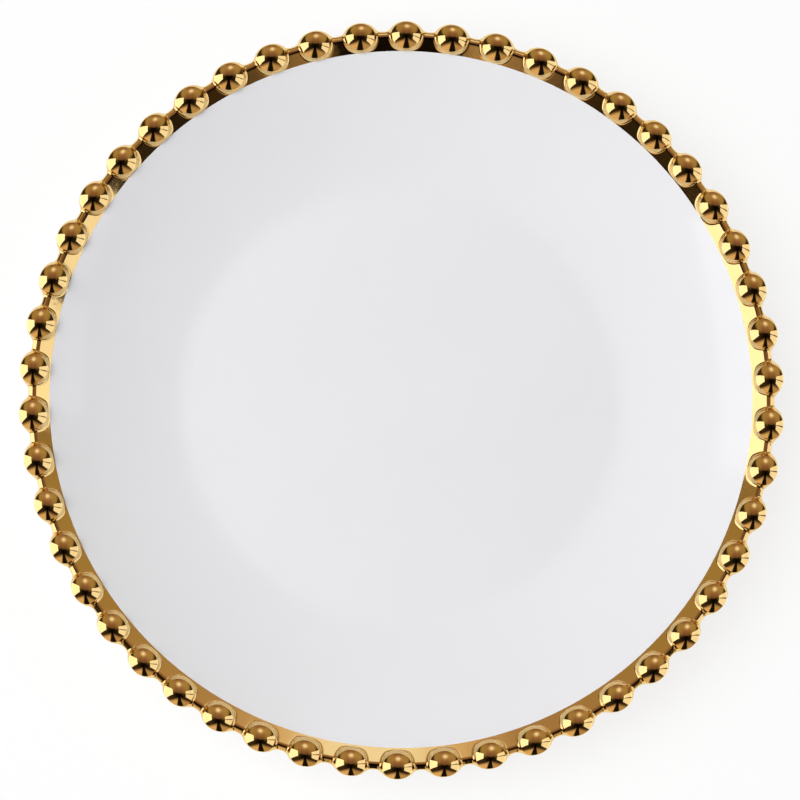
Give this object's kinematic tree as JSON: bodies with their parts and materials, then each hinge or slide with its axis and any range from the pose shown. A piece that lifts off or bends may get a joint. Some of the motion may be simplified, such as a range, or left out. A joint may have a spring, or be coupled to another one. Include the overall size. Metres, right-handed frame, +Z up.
{
  "type": "snack plate",
  "caption": "Round white porcelain snack plate with a flat well, a gently curved wall, a bare foot ring and a gilded rim set with smooth rounded beads.",
  "frame": {"origin": "middle of the plate, on the table it stands on", "axes": "+Z up along the plate's axis; one bead stands on the +Y axis, at the top of the picture"},
  "size_m": [0.2096, 0.21, 0.0215],
  "materials": {
    "glazed_porcelain": "white porcelain under a clear gloss glaze",
    "bare_porcelain": "bare porcelain, ground flat, where the plate stands",
    "gold_lustre": null
  },
  "bodies": {
    "root": {"porcelain_dish": "glazed_porcelain", "foot_ring": "bare_porcelain", "gilt_rim_coat": "gold_lustre", "bead_01": "gold_lustre", "bead_02": "gold_lustre", "bead_03": "gold_lustre", "bead_04": "gold_lustre", "bead_05": "gold_lustre", "bead_06": "gold_lustre", "bead_07": "gold_lustre", "bead_08": "gold_lustre", "bead_09": "gold_lustre", "bead_10": "gold_lustre", "bead_11": "gold_lustre", "bead_12": "gold_lustre", "bead_13": "gold_lustre", "bead_14": "gold_lustre", "bead_15": "gold_lustre", "bead_16": "gold_lustre", "bead_17": "gold_lustre", "bead_18": "gold_lustre", "bead_19": "gold_lustre", "bead_20": "gold_lustre", "bead_21": "gold_lustre", "bead_22": "gold_lustre", "bead_23": "gold_lustre", "bead_24": "gold_lustre", "bead_25": "gold_lustre", "bead_26": "gold_lustre", "bead_27": "gold_lustre", "bead_28": "gold_lustre", "bead_29": "gold_lustre", "bead_30": "gold_lustre", "bead_31": "gold_lustre", "bead_32": "gold_lustre", "bead_33": "gold_lustre", "bead_34": "gold_lustre", "bead_35": "gold_lustre", "bead_36": "gold_lustre", "bead_37": "gold_lustre", "bead_38": "gold_lustre", "bead_39": "gold_lustre", "bead_40": "gold_lustre", "bead_41": "gold_lustre", "bead_42": "gold_lustre", "bead_43": "gold_lustre", "bead_44": "gold_lustre", "bead_45": "gold_lustre", "bead_46": "gold_lustre", "bead_47": "gold_lustre", "bead_48": "gold_lustre", "bead_49": "gold_lustre", "bead_50": "gold_lustre"}
  },
  "joints": []
}
